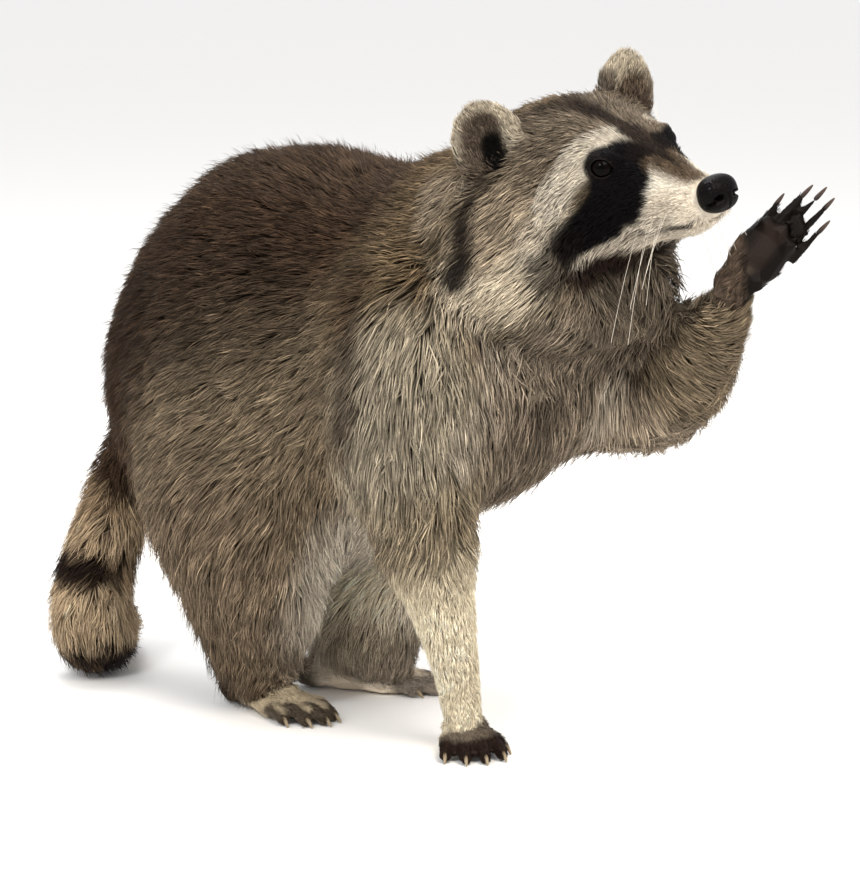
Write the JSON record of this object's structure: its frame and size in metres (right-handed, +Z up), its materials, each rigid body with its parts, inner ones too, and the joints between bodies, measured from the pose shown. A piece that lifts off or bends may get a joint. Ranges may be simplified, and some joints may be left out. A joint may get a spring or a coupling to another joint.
{
  "type": "raccoon model",
  "caption": "Still life-size raccoon, crouched on its hind feet and one forepaw, the other forepaw held up in front of its face.",
  "frame": {"origin": "under the middle of the whole model, on the floor it stands on", "axes": "+X the way the body faces, +Y the animal's left, +Z up"},
  "size_m": [0.4574, 0.1908, 0.3455],
  "materials": {
    "coat": "long grizzled grey-brown fur, matte",
    "pale_coat": "short pale tan fur, matte",
    "pad": "bare dark skin of the palm and fingers, satin",
    "nose": "moist black nose leather, pebbled",
    "eye": "wet dark brown eye, polished",
    "claw": "horn, satin, paler towards the tip"
  },
  "bodies": {
    "root": {"claw_forepaw_left_1": "claw", "claw_forepaw_left_2": "claw", "claw_forepaw_left_3": "claw", "claw_forepaw_left_4": "claw", "claw_forepaw_left_5": "claw", "claw_forepaw_right_1": "claw", "claw_forepaw_right_2": "claw", "claw_forepaw_right_3": "claw", "claw_forepaw_right_4": "claw", "claw_forepaw_right_5": "claw", "claw_hindpaw_left_1": "claw", "claw_hindpaw_left_2": "claw", "claw_hindpaw_left_3": "claw", "claw_hindpaw_left_4": "claw", "claw_hindpaw_left_5": "claw", "claw_hindpaw_right_1": "claw", "claw_hindpaw_right_2": "claw", "claw_hindpaw_right_3": "claw", "claw_hindpaw_right_4": "claw", "claw_hindpaw_right_5": "claw", "ear_left": "coat", "ear_right": "coat", "eye_left": "eye", "eye_right": "eye", "foreleg_left_lower": "pale_coat", "foreleg_left_upper": "coat", "foreleg_right_lower": "pale_coat", "foreleg_right_upper": "coat", "forepaw_left": "pad", "forepaw_right": "pad", "head": "coat", "hindleg_left_shank": "coat", "hindleg_left_thigh": "coat", "hindleg_right_shank": "coat", "hindleg_right_thigh": "coat", "hindpaw_left": "pale_coat", "hindpaw_right": "pale_coat", "neck": "coat", "nose": "nose", "tail_base": "coat", "tail_middle": "coat", "tail_tip": "coat", "trunk": "coat"}
  },
  "joints": []
}
